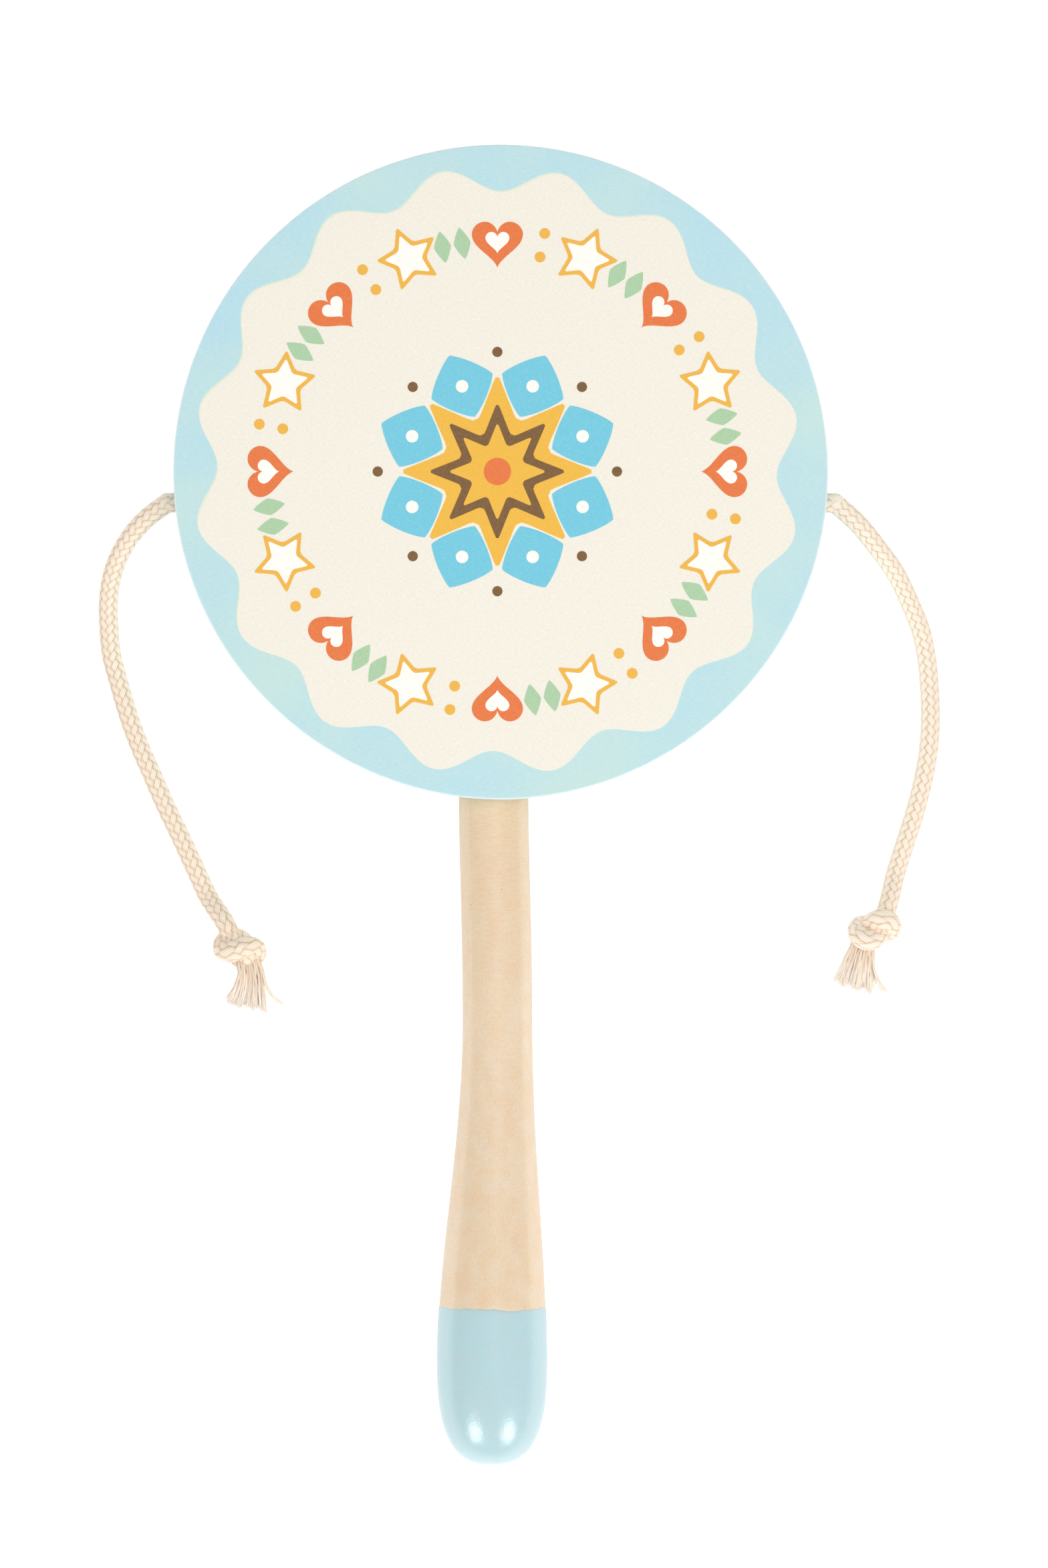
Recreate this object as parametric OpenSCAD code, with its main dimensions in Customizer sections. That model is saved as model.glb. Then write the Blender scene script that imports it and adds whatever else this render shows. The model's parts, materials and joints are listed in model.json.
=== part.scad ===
// Pellet drum rattle, lying on its back head: a hollow wooden drum on a turned handle,
// with a knotted cotton cord at each side that swings over and strikes the head.
// The origin is the centre of the back head's outer face, +Z points out of the front head
// and the handle runs along -Y. Lengths are millimetres.

/* [Drum] */
// Outer diameter of the drum
drum_d = 115; // [95:1:150]
// Thickness of each plywood head
head_t = 3; // [2:0.5:5]
// Rounding of the outer edge of each head
head_edge_r = 0.8; // [0.2:0.1:1.6]
// Height of the ring between the heads
ring_h = 19; // [17:0.5:32]
// Wall thickness of the ring
ring_wall = 8; // [6:0.5:14]

/* [Handle] */
// Length of the handle from the drum to its tip
handle_l = 118; // [105:1:150]
// Diameter of the straight neck
neck_d = 12.4; // [11:0.2:14.4]
// Length of the straight neck
neck_l = 38; // [20:1:50]
// Largest diameter of the grip
grip_d = 19.4; // [16:0.2:24]
// Length of the domed end, from the widest place to the tip
dome_l = 18.5; // [12:0.5:26]
// Length of the end that is dipped in paint
dip_l = 28; // [20:0.5:40]
// Diameter of the tenon that is glued into the ring
tenon_d = 9; // [7:0.5:10]
// How far the handle sits to the left of the drum's middle line
handle_shift = 1.3; // [0:0.1:3]

/* [Cords] */
// Diameter of the braided cord
cord_d = 3.5; // [2.6:0.1:3.9]
// How far the cord holes lie from the drum's middle, towards the handle
hole_drop = 4.8; // [0:0.2:10]
// Outer diameter of a striking knot
knot_d = 9.4; // [8:0.2:12]
// Length of a striking knot along the cord
knot_l = 7.2; // [6:0.2:9]
// Length of a frayed tassel beyond its knot
tassel_l = 8; // [5:0.5:14]
// Width of a tassel at its loose end
tassel_d = 8.4; // [6:0.2:9]
// Outer diameter of a stopper knot inside the drum
stopper_d = 9; // [8:0.2:12]
// Length of a stopper knot along the cord
stopper_l = 6.8; // [6:0.2:9]

/* [Clearances] */
// Glue line round the tenon and under the handle's shoulder
glue_gap = 0.1; // [0.05:0.05:0.2]
// Play of a cord in its hole, on each side
hole_gap = 0.25; // [0.1:0.05:0.5]
// Space between a moving length of cord and what it swings on
swing_gap = 0.3; // [0.2:0.05:0.6]
// Space between a lying cord and the table
table_gap = 0.05; // [0.02:0.01:0.2]

/* [Hidden] */

// Colours of the finishes
rim_blue = "#BDE4EC";
ring_blue = "#C3E3EA";
dip_blue = "#BFE0E6";
pale_wood = "#EFD6B6";
cotton = "#EFE0CC";

// Cuts run this far past the face that they open
overrun = 1;
$fn = 96;

// Drum, worked out
drum_r = drum_d / 2;
ring_inner_r = drum_r - ring_wall;
ring_top = head_t + ring_h;
drum_h = ring_top + head_t;
mid_z = drum_h / 2;
edge_steps = 6;

// Handle, worked out as distances from the drum's axis
dip_at = drum_r + handle_l - dip_l;
flare_from = drum_r + neck_l;
grip_at = drum_r + handle_l - dome_l;
tip_at = drum_r + handle_l;
neck_reach = handle_shift + neck_d / 2;
shoulder_at = sqrt(drum_r * drum_r - neck_reach * neck_reach) - overrun;
// The swelling starts slowly, and the dome is fuller than an ellipse
flare_ease_share = 1.1;
dome_fullness_share = 2.7;
profile_steps = 18;

// Cords, worked out
cord_r = cord_d / 2;
cord_sides = 8;
// Angles, from a tube's line, of the rings that round its ball end
ball_angles = [15, 45, 70];
lying_z = cord_r + table_gap;
mouth_y = -hole_drop;
mouth_face_x = sqrt(drum_r * drum_r - hole_drop * hole_drop);
mouth_x = mouth_face_x + cord_r + swing_gap;
stopper_reach = hole_drop + stopper_d / 2;
stopper_face_x = sqrt(ring_inner_r * ring_inner_r - stopper_reach * stopper_reach) - glue_gap;
knot_z = knot_d / 2 + table_gap;
wrap_steps = 8;
lock_count = 7;
lock_depth_share = 0.14;
tassel_sides = 28;
tassel_rings = 5;

// Route of each cord: x and y from its mouth, then its height as a share of the drop to the table
left_route = [
    [0, 0, 1], [-4, -3, 0.92], [-7.5, -7, 0.72], [-10, -12, 0.48], [-11, -17, 0.28], [-11, -22, 0.13],
    [-10.5, -27, 0.04], [-9, -32, 0], [-7.5, -37.5, 0], [-5.5, -43, 0], [-3, -48.5, 0], [-0.5, -54, 0],
    [2, -59, 0], [4.5, -64.5, 0], [7, -70, 0.02], [9, -74.5, 0.1], [10.5, -77.5, 0.2]];
right_route = [
    [0, 0, 1], [4, -3.5, 0.92], [8, -8, 0.72], [11.5, -12.5, 0.48], [14, -17.5, 0.28], [16, -22.5, 0.13],
    [17, -27.5, 0.04], [17.5, -33, 0], [17.5, -38.5, 0], [17, -44, 0], [16, -49.5, 0], [14.5, -55, 0],
    [13, -60.5, 0], [12, -66, 0.02], [10.5, -71, 0.12], [9, -74, 0.21]];
// Middle of each knot from its cord's mouth, and the way that its tassel points
left_knot_place = [12.5, -79.5];
left_tassel_way = [3.5, -10.5];
right_knot_place = [7.5, -76];
right_tassel_way = [-4, -10.5];
// The bend lies at this point of each route
bend_point = 4;

// A route's points in the object's frame; side is -1 at the left and 1 at the right
function routed(route, side) = [for (p = route)
    [side * mouth_x + p[0], mouth_y + p[1], lying_z + (mid_z - lying_z) * p[2]]];
function unit(v) = v / norm(v);
function heading(points, i) =
    unit(points[min(i + 1, len(points) - 1)] - points[max(i - 1, 0)]);

// One ring of a tube: corners round point p, square to the heading
function tube_ring(p, way, r) =
    let (u = unit(cross(way, [0, 0, 1])), v = cross(u, way))
    [for (k = [0:cord_sides - 1])
        let (a = 360 * (k + 0.5) / cord_sides) p + r * (u * cos(a) + v * sin(a))];

// The rings of a ball end round the first point, then one ring a point
function tube_rings(points) = concat(
    [for (a = ball_angles) let (way = heading(points, 0))
        tube_ring(points[0] - way * cord_r * cos(a), way, cord_r * sin(a))],
    [for (i = [0:len(points) - 1]) tube_ring(points[i], heading(points, i), cord_r)]);

// A closed skin over rings that all have the same number of corners
module skin(rings) {
    n = len(rings[0]);
    last = len(rings) - 1;
    points = [for (ring = rings) each ring];
    sides = [for (i = [0:last - 1]) for (k = [0:n - 1])
        let (a = i * n + k, b = i * n + (k + 1) % n) each [[a, b, a + n], [b, b + n, a + n]]];
    polyhedron(points, concat(
        [[for (k = [0:n - 1]) n - 1 - k]], sides, [[for (k = [0:n - 1]) last * n + k]]));
}

// Head of the drum with its outer edge rounded, lying with its outer face up
module head_disc() {
    rotate_extrude()
        polygon(concat(
            [[0, 0], [drum_r, 0]],
            [for (i = [0:edge_steps]) let (a = 90 * i / edge_steps)
                [drum_r - head_edge_r + head_edge_r * cos(a), head_t - head_edge_r + head_edge_r * sin(a)]],
            [[0, head_t]]));
}

module front_head() {
    color(rim_blue)
        translate([0, 0, ring_top])
            head_disc();
}

module back_head() {
    color(rim_blue)
        translate([0, 0, head_t])
            rotate([180, 0, 0])
                head_disc();
}

module drum_ring() {
    color(ring_blue)
        difference() {
            translate([0, 0, head_t])
                cylinder(r = drum_r, h = ring_h);
            translate([0, 0, head_t - overrun])
                cylinder(r = ring_inner_r, h = ring_h + 2 * overrun);
            // One drilling makes both cord holes
            translate([0, mouth_y, mid_z])
                rotate([0, 90, 0])
                    cylinder(d = cord_d + 2 * hole_gap, h = drum_d + 2 * overrun, center = true);
            // Bore for the handle's tenon
            translate([-handle_shift, 0, mid_z])
                rotate([90, 0, 0])
                    cylinder(d = tenon_d + 2 * glue_gap, h = drum_r + overrun);
        }
}

// Radius of the handle at a distance from the drum's axis
function flare_r(at) =
    let (t = pow((at - flare_from) / (grip_at - flare_from), flare_ease_share))
    (neck_d + (grip_d - neck_d) * t * t * (3 - 2 * t)) / 2;
function dome_point(a) =
    let (power = 2 / dome_fullness_share)
    [grip_d / 2 * pow(cos(a), power), grip_at + dome_l * pow(sin(a), power)];
function dome_r(at) =
    grip_d / 2 * pow(1 - pow((at - grip_at) / dome_l, dome_fullness_share), 1 / dome_fullness_share);
function handle_r(at) = at <= flare_from ? neck_d / 2 : at < grip_at ? flare_r(at) : dome_r(at);

// Outline of the turned handle, from its shoulder to its tip, as radius and distance
turned_outline = concat(
    [[neck_d / 2, shoulder_at], [neck_d / 2, flare_from]],
    [for (i = [1:profile_steps]) let (at = flare_from + (grip_at - flare_from) * i / profile_steps)
        [flare_r(at), at]],
    [for (i = [1:profile_steps - 1]) dome_point(90 * i / profile_steps)]);

// The stretch of the turned handle between two distances from the drum's axis
module turned(from, to) {
    between = [for (p = turned_outline) if (p[1] > from && p[1] < to) p];
    end_r = to < tip_at ? [[handle_r(to), to]] : [];
    rotate_extrude()
        polygon(concat([[0, from], [handle_r(from), from]], between, end_r, [[0, to]]));
}

module handle() {
    translate([-handle_shift, 0, mid_z])
        rotate([90, 0, 0]) {
            color(pale_wood)
                difference() {
                    turned(shoulder_at, dip_at);
                    // The shoulder is hollowed to sit on the drum's side
                    translate([handle_shift, 0, 0])
                        rotate([90, 0, 0])
                            cylinder(r = drum_r + glue_gap, h = drum_h, center = true);
                }
            color(pale_wood)
                translate([0, 0, ring_inner_r])
                    cylinder(d = tenon_d, h = ring_wall + overrun);
            color(dip_blue)
                turned(dip_at, tip_at);
        }
}

// Knot seen as two turns of cord side by side, centred, with its cord along Z
module knot_form(across, long) {
    wrap_r = long / 4;
    rotate_extrude()
        polygon(concat(
            [[0, -long / 2]],
            [for (turn = [-1, 1]) for (i = [0:wrap_steps]) let (a = 180 * i / wrap_steps - 90)
                [across / 2 - wrap_r + wrap_r * cos(a), turn * wrap_r + wrap_r * sin(a)]],
            [[0, long / 2]]));
}

// Length of cord that lies in its hole, from the stopper knot to the drum's side
module cord_neck(side) {
    color(cotton)
        translate([side * stopper_face_x, mouth_y, mid_z])
            rotate([0, side * 90, 0])
                cylinder(r = cord_r, h = mouth_face_x - stopper_face_x);
}

module stopper_knot(side) {
    color(cotton)
        translate([side * (stopper_face_x - stopper_l / 2), mouth_y, mid_z])
            rotate([0, 90, 0])
                knot_form(stopper_d, stopper_l);
}

// First length outside, from a ball at the mouth to just short of the bend
module cord_root(route, side) {
    points = routed(route, side);
    bend = points[bend_point];
    way = unit(bend - points[bend_point - 1]);
    before = [for (i = [0:bend_point - 1]) points[i]];
    color(cotton)
        skin(tube_rings(concat(before, [bend - way * (cord_r + swing_gap)])));
}

// Last length, from a ball at the bend into the striking knot
module cord_tail(route, side) {
    points = routed(route, side);
    color(cotton)
        skin(tube_rings([for (i = [bend_point:len(points) - 1]) points[i]]));
}

// Places what lies along Z at a knot, lying the way that its tassel points
module at_knot(place, way, side) {
    translate([side * mouth_x + place[0], mouth_y + place[1], knot_z])
        rotate([0, 90, atan2(way[1], way[0])])
            children();
}

module striking_knot(place, way, side) {
    color(cotton)
        at_knot(place, way, side)
            knot_form(knot_d, knot_l);
}

// Frayed end: a flare whose rim is drawn into locks
module tassel(place, way, side) {
    starts = knot_l / 2 - cord_r / 2;
    rings = [for (i = [0:tassel_rings]) let (t = i / tassel_rings, r = cord_r + (tassel_d / 2 - cord_r) * t)
        [for (k = [0:tassel_sides - 1]) let (a = 360 * k / tassel_sides,
            lobed = r * (1 - lock_depth_share * t * (1 - cos(lock_count * a)) / 2))
            [lobed * cos(a), lobed * sin(a), starts + (knot_l / 2 + tassel_l - starts) * t]]];
    color(cotton)
        at_knot(place, way, side)
            skin(rings);
}

front_head();
back_head();
drum_ring();
handle();
cord_neck(-1);  // left_cord_neck
stopper_knot(-1);  // left_stopper_knot
cord_root(left_route, -1);  // left_cord_root
cord_tail(left_route, -1);  // left_cord_tail
striking_knot(left_knot_place, left_tassel_way, -1);  // left_knot
tassel(left_knot_place, left_tassel_way, -1);  // left_tassel
cord_neck(1);  // right_cord_neck
stopper_knot(1);  // right_stopper_knot
cord_root(right_route, 1);  // right_cord_root
cord_tail(right_route, 1);  // right_cord_tail
striking_knot(right_knot_place, right_tassel_way, 1);  // right_knot
tassel(right_knot_place, right_tassel_way, 1);  // right_tassel
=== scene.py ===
"""Looks of a pellet drum rattle: painted heads with a printed field, a turned and dipped handle,
and two braided cotton cords that end in overhand knots and frayed tassels.

Lengths in this script are millimetres until a mesh is made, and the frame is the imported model's own."""
import json
import math

import bpy
import numpy as np
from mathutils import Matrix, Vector


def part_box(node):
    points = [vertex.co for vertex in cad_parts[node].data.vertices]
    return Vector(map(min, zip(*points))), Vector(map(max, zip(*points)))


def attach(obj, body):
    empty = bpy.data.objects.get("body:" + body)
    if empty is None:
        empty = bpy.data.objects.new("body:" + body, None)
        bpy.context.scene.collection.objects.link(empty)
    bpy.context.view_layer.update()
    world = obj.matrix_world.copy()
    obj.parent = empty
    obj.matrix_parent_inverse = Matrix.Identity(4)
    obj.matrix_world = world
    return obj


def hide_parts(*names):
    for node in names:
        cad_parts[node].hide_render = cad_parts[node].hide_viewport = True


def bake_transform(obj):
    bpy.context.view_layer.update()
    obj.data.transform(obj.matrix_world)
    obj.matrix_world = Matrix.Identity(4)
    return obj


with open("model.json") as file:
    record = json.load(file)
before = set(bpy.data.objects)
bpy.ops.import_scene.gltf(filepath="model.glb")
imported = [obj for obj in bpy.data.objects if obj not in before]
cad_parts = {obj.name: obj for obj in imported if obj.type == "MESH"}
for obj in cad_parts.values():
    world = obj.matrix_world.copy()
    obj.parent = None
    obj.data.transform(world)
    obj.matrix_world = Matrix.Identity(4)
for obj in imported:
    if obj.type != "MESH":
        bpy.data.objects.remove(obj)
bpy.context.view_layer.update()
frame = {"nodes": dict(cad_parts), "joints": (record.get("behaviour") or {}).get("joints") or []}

MM = 0.001
SIDES = {"left": -1, "right": 1}


# Sizes from the frame

def box_mm(node_name):
    """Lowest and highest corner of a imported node, in millimetres."""
    low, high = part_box(node_name)
    return np.array(low) / MM, np.array(high) / MM


def middle_of(node_name):
    """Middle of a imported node's box, in millimetres."""
    low, high = box_mm(node_name)
    return (low + high) / 2


joint_mm = {joint["name"]: np.array(joint["pos_m"]) / MM for joint in frame["joints"]}
front_low, front_high = box_mm("front_head")
back_low, back_high = box_mm("back_head")
handle_low, handle_high = box_mm("handle")
drum_r = front_high[0]
handle_x = (handle_low[0] + handle_high[0]) / 2
mid_z = (handle_low[2] + handle_high[2]) / 2
grip_r = (handle_high[0] - handle_low[0]) / 2

# Lengths of the handle's parts, and their places, counted from the drum's axis towards the tip
neck_l, dome_l, dip_l = 38, 18.5, 28
tip_at = -handle_low[1]
tenon_at = -handle_high[1]
neck_end_at = drum_r + neck_l
grip_at = tip_at - dome_l
dip_at = tip_at - dip_l


# Meshes

def outward(points, faces):
    """The same faces, turned round if the volume that they enclose comes out negative."""
    volume = 0.0
    for face in faces:
        corners = points[face]
        fan = np.cross(corners[:, 1:-1], corners[:, 2:])
        volume += np.einsum("fk,fnk->", corners[:, 0], fan)
    return [face[:, ::-1] for face in faces] if volume < 0 else faces


def piece(name, points, faces, body, finish, slot, stands_for=(), **attributes):
    """One closed mesh at the origin that rides on a body. Faces are a list of index arrays, one array for
    each number of corners. Attributes are values a point, for the finish to read."""
    faces = outward(points, faces)
    mesh = bpy.data.meshes.new(name)
    mesh.from_pydata((points * MM).tolist(), [], [f for part in faces for f in part.tolist()])
    mesh.polygons.foreach_set("use_smooth", np.ones(len(mesh.polygons), bool))
    for label, values in attributes.items():
        attribute = mesh.attributes.new(label, "FLOAT", "POINT")
        attribute.data.foreach_set("value", values.astype(np.float32))
    mesh.materials.append(finish)
    made = bpy.data.objects.new(name, mesh)
    bpy.context.scene.collection.objects.link(made)
    if body:
        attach(made, body)
    if stands_for:
        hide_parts(*stands_for)
    return made


def ring_faces(rows, columns):
    """Quads between neighbouring rings, closed round each ring."""
    row, column = np.meshgrid(np.arange(rows - 1), np.arange(columns), indexing="ij")
    here = row * columns + column
    beside = row * columns + (column + 1) % columns
    return np.stack([here, beside, beside + columns, here + columns], -1).reshape(-1, 4)


def closed_rings(rings):
    """Points and faces of a skin over rings of points, with a fan to the middle of each end ring."""
    rows, columns, _ = rings.shape
    poles = rings[[0, -1]].mean(axis=1)
    points = np.concatenate([rings.reshape(-1, 3), poles])
    around = np.arange(columns)
    after = (around + 1) % columns
    last = (rows - 1) * columns
    first_pole = rows * columns
    caps = np.concatenate([
        np.stack([np.full(columns, first_pole), after, around], -1),
        np.stack([np.full(columns, first_pole + 1), last + around, last + after], -1)])
    return points, [ring_faces(rows, columns), caps]


def turns(count):
    """Angles of this many even steps of one turn, in radians."""
    return np.linspace(0, 2 * np.pi, count, endpoint=False)


def unit(v):
    """The same directions with a length of one."""
    return v / np.linalg.norm(v, axis=-1, keepdims=True)


def walked(line):
    """Distance along a line at each of its points."""
    steps = np.linalg.norm(np.diff(line, axis=0), axis=1)
    return np.concatenate([[0], np.cumsum(steps)])


def length_of(line):
    """Length of a line of points."""
    return np.linalg.norm(np.diff(line, axis=0), axis=1).sum()


def even_spacing(line, count):
    """The same line as count points, evenly spaced along it."""
    along = walked(line)
    wanted = np.linspace(0, along[-1], count)
    return np.stack([np.interp(wanted, along, line[:, k]) for k in range(3)], -1)


# Steps that a smooth line takes between two of the points that it is drawn through
SPAN_STEPS = 32


def smooth_line(points, spacing):
    """The curve through the points, as even points: a Hermite cubic between each pair, whose slope at a
    point is the way from the point before it to the point after it, over the distance walked."""
    along = walked(points)
    slopes = np.gradient(points, along, axis=0)
    t = np.arange(SPAN_STEPS)[:, None] / SPAN_STEPS
    span = np.diff(along)[:, None, None]
    a, b = points[:-1, None], points[1:, None]
    slope_a, slope_b = slopes[:-1, None] * span, slopes[1:, None] * span
    curve = ((2 * t**3 - 3 * t**2 + 1) * a + (t**3 - 2 * t**2 + t) * slope_a
             + (3 * t**2 - 2 * t**3) * b + (t**3 - t**2) * slope_b)
    line = np.concatenate([curve.reshape(-1, 3), points[-1:]])
    return even_spacing(line, round(length_of(line) / spacing) + 1)


def carried_frames(line):
    """Two directions square to the line at each point, carried along it without twist: each step turns
    the pair only as far as the line itself turns. The first one is level."""
    ways = unit(np.gradient(line, axis=0))
    side = np.empty_like(line)
    side[0] = unit(np.cross(ways[0], [0, 0, 1]))
    for i in range(1, len(line)):
        side[i] = unit(side[i - 1] - ways[i] * (side[i - 1] @ ways[i]))
    return side, np.cross(ways, side)


# Materials

# Places of the sockets of a colour mix and of a value mix, which share their names with other kinds
MIX_SHARE, MIX_UNDER, MIX_OVER, MIXED = 0, 6, 7, 2
VALUE_SHARE, VALUE_UNDER, VALUE_OVER, VALUE_MIXED = 0, 2, 3, 0
# The run that most values of a grain lie in, and most sums of two grains
GRAIN_RUN = (0.3, 0.7)
WEAVE_RUN = (0.68, 1.32)


def colour(hex_code):
    """An sRGB hex colour as linear red, green, blue and alpha."""
    srgb = np.array([int(hex_code[i:i + 2], 16) for i in (1, 3, 5)]) / 255
    linear = np.where(srgb <= 0.04045, srgb / 12.92, ((srgb + 0.055) / 1.055) ** 2.4)
    return (*linear.tolist(), 1.0)


def add(tree, kind, inputs=None, **settings):
    """Adds a node with its settings; inputs give a socket's value, or the socket to link to it."""
    made = tree.nodes.new(kind)
    for key, value in settings.items():
        setattr(made, key, value)
    for key, value in (inputs or {}).items():
        if isinstance(value, bpy.types.NodeSocket):
            tree.links.new(value, made.inputs[key])
        else:
            made.inputs[key].default_value = value
    return made


def new_finish(name):
    """An empty material and its node tree."""
    made = bpy.data.materials.new(name)
    made.use_nodes = True
    made.node_tree.nodes.clear()
    return made, made.node_tree


def finished(made, inputs):
    """The material with its one shader, whose inputs are values or sockets to link."""
    shader = add(made.node_tree, "ShaderNodeBsdfPrincipled", inputs)
    add(made.node_tree, "ShaderNodeOutputMaterial", {"Surface": shader.outputs["BSDF"]})
    return made


def grain(tree, size_mm, detail=3.0):
    """A pattern of grains with these sizes along X, Y and Z of the object."""
    place = add(tree, "ShaderNodeTexCoord").outputs["Object"]
    scale = [1 / (size * MM) for size in size_mm]
    scaled = add(tree, "ShaderNodeMapping", {"Vector": place, "Scale": scale})
    return add(tree, "ShaderNodeTexNoise", {
        "Vector": scaled.outputs["Vector"], "Scale": 1.0, "Detail": detail}).outputs["Fac"]


def layered(tree, ground, *layers):
    """A ground colour with others laid over it in turn. A layer is its colour, the pattern that it follows,
    the two values of the pattern between which it comes in, and its share where it is full."""
    shown = colour(ground)
    for tint, pattern, (bare, full), most in layers:
        share = add(tree, "ShaderNodeMapRange", {
            "Value": pattern, "From Min": bare, "From Max": full, "To Max": most}).outputs["Result"]
        mix = {MIX_SHARE: share, MIX_UNDER: shown, MIX_OVER: colour(tint)}
        shown = add(tree, "ShaderNodeMix", mix, data_type="RGBA").outputs[MIXED]
    return shown


def satin_paint(name, tint, cloud, fibre):
    """Water-based satin paint rolled on plywood: an even pastel with soft clouds of a greener tone, and
    the wood's fine fibres showing through as faint lines across. Where the attribute edge is 1 it is
    painted nearly white, a painted highlight of the rounded edge catching the light."""
    made, tree = new_finish(name)
    edge = add(tree, "ShaderNodeAttribute", attribute_name="edge").outputs["Fac"]
    clouds = grain(tree, (26, 20, 26), 2.0)
    lines = grain(tree, (0.9, 0.17, 0.17), 4.0)
    relief = add(tree, "ShaderNodeBump", {"Height": lines, "Distance": 0.02 * MM, "Strength": 0.4})
    return finished(made, {
        "Base Color": layered(
            tree, tint, (cloud, clouds, GRAIN_RUN, 1.0), (fibre, lines, GRAIN_RUN, 0.35),
            # Painted highlight: nearly white where the attribute edge marks the rounded edge that catches
            # the light
            ("#F4F1F2", edge, (0, 1), 1.0)),
        "Roughness": 0.42, "IOR": 1.47, "Normal": relief.outputs["Normal"]})


def printed_ink(name, tint, wear_and_lit_edge):
    """Transfer print on plywood: a flat matt colour broken by a fine weave of lines across and up the head,
    where the board's texture lets a little of the ground through."""
    made, tree = new_finish(name)
    across = grain(tree, (0.6, 0.12, 0.12), 2.0)
    upright = grain(tree, (0.12, 0.5, 0.12), 2.0)
    weave = add(tree, "ShaderNodeMath", {0: across, 1: upright}, operation="ADD").outputs["Value"]
    relief = add(tree, "ShaderNodeBump", {"Height": weave, "Distance": 0.015 * MM, "Strength": 0.5})
    return finished(made, {
        "Base Color": layered(tree, wear_and_lit_edge, (tint, weave, WEAVE_RUN, 1.0)),
        "Roughness": 0.55, "IOR": 1.45, "Normal": relief.outputs["Normal"]})


def turned_wood(name):
    """Pale close-grained hardwood, turned, sanded and sealed with thin varnish: a warm cream with soft
    orange clouds and short fine fibres along the stick, rare pin knots, and sanding lines round it
    towards the drum. Its colour is also made darker and more orange over the neck towards the drum."""
    made, tree = new_finish(name)
    place = add(tree, "ShaderNodeTexCoord").outputs["Object"]
    along = add(tree, "ShaderNodeSeparateXYZ", {"Vector": place}).outputs["Y"]
    clouds = grain(tree, (9, 16, 9), 2.0)
    warmth = grain(tree, (2.6, 3.6, 2.6), 4.0)
    fibres = grain(tree, (0.17, 0.5, 0.17), 3.0)
    sanding = grain(tree, (1.6, 0.13, 1.6))
    sanded = add(tree, "ShaderNodeMapRange", {
        "Value": along, "From Min": -grip_at * MM, "From Max": -drum_r * MM, "To Min": 0.1, "To Max": 0.32})
    pin_knots = add(tree, "ShaderNodeTexVoronoi", {
        "Vector": place, "Scale": 1 / (5.5 * MM)}).outputs["Distance"]
    relief = add(tree, "ShaderNodeBump", {"Height": fibres, "Distance": 0.02 * MM, "Strength": 0.5})
    return finished(made, {
        "Base Color": layered(
            tree, "#E8D5BA", ("#ECDBC4", clouds, GRAIN_RUN, 1.0), ("#EAC598", warmth, GRAIN_RUN, 0.6),
            ("#E2BD92", along, (-neck_end_at * MM, -drum_r * MM), 0.55),
            ("#D2AF85", fibres, GRAIN_RUN, 0.4), ("#F8E8D2", sanding, GRAIN_RUN, sanded.outputs["Result"]),
            ("#A87C4E", pin_knots, (0.045, 0.025), 0.5)),
        "Roughness": 0.5, "IOR": 1.45, "Coat Weight": 0.4, "Coat Roughness": 0.12,
        "Normal": relief.outputs["Normal"]})


def gloss_paint(name):
    """Thick gloss lacquer that the handle's end was dipped in: bright highlights with a woolly edge from
    its orange-peel skin, and small warm patches where the wood shows through."""
    made, tree = new_finish(name)
    clouds = grain(tree, (5, 2.2, 5), 4.0)
    wear_and_lit_edge = grain(tree, (2.2, 1.1, 2.2))
    peel = grain(tree, (0.3, 0.45, 0.3))
    relief = add(tree, "ShaderNodeBump", {"Height": peel, "Distance": 0.06 * MM, "Strength": 0.8})
    return finished(made, {
        "Base Color": layered(
            tree, "#B6D2D7", ("#B2D4DB", clouds, GRAIN_RUN, 1.0), ("#CDCCC5", wear_and_lit_edge, (0.58, 0.72), 0.35),
            ("#C9E0E3", peel, GRAIN_RUN, 0.25)),
        "Roughness": 0.3, "IOR": 1.5, "Specular IOR Level": 0.15,
        "Coat Weight": 0.45, "Coat IOR": 1.5, "Coat Roughness": 0.07,
        "Normal": relief.outputs["Normal"], "Coat Normal": relief.outputs["Normal"]})


def cotton(name, groove_shade, high, fuzz):
    """Undyed spun cotton: cream yarns with a soft sheen of loose fibres, painted darker and warmer in the
    grooves where they dive into the braid, as painted shade, and paler on the crowns, as painted light.
    The attribute relief is 0 in the grooves and 1 on the crowns."""
    made, tree = new_finish(name)
    crowns = add(tree, "ShaderNodeAttribute", attribute_name="relief").outputs["Fac"]
    fibres = grain(tree, (0.25, 0.25, 0.25), 4.0)
    relief = add(tree, "ShaderNodeBump", {"Height": fibres, "Distance": 0.05 * MM, "Strength": 0.6})
    return finished(made, {
        "Base Color": layered(
            tree, groove_shade, (high, crowns, (0.1, 0.75), 1.0), (fuzz, fibres, GRAIN_RUN, 0.15)),
        "Roughness": 0.9, "Sheen Weight": 0.25, "Sheen Roughness": 0.5, "Normal": relief.outputs["Normal"]})


RIM_PAINT = satin_paint("pale_blue_satin_paint", "#AEDAE8", "#C0E0DC", "#DCEFEF")
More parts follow.
